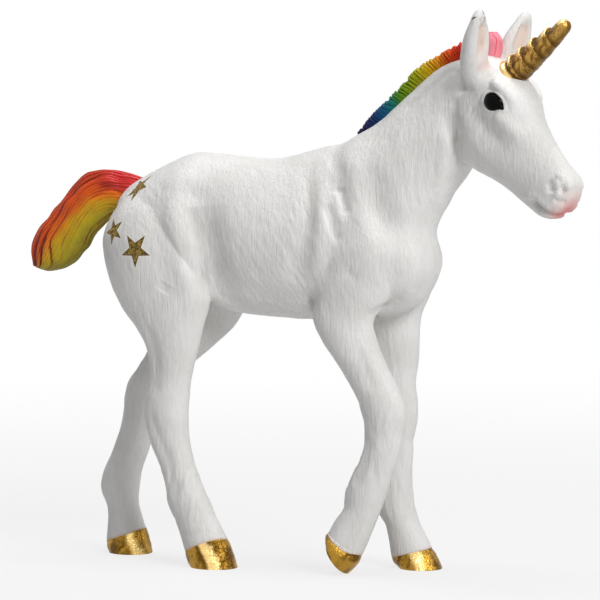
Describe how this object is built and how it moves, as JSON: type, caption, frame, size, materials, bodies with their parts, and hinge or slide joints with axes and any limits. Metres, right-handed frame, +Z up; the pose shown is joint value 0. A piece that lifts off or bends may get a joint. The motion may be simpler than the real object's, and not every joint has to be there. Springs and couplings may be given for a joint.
{
  "type": "unicorn figurine",
  "caption": "Small moulded unicorn foal ornament, walking with its head turned, with a spiral horn, rainbow mane and tail and gold hooves.",
  "frame": {"origin": "middle of the figurine's outline, on the ground it stands on", "axes": "+X towards the nose, +Y to the animal's left, +Z up"},
  "size_m": [0.1042, 0.0214, 0.0962],
  "materials": {
    "white_body": "satin white paint with a faint grey wash in modelled hair",
    "gold_paint": "mottled metallic gold paint",
    "eye_black": "gloss black",
    "tail_paint": "gloss red, orange and yellow over modelled hair",
    "mane_paint": "rainbow bands from red at the poll to dark blue at the withers",
    "forelock_pink": "satin pink"
  },
  "bodies": {
    "root": {"trunk": "white_body", "neck": "white_body", "head": "white_body", "right_hind_leg": "white_body", "right_hind_hoof": "gold_paint", "left_hind_leg": "white_body", "left_hind_hoof": "gold_paint", "right_fore_leg": "white_body", "right_fore_hoof": "gold_paint", "left_fore_leg": "white_body", "left_fore_hoof": "gold_paint", "tail": "tail_paint", "mane": "mane_paint", "forelock": "forelock_pink", "horn": "gold_paint", "left_ear": "white_body", "left_eye": "eye_black", "right_ear": "white_body", "right_eye": "eye_black"}
  },
  "joints": []
}
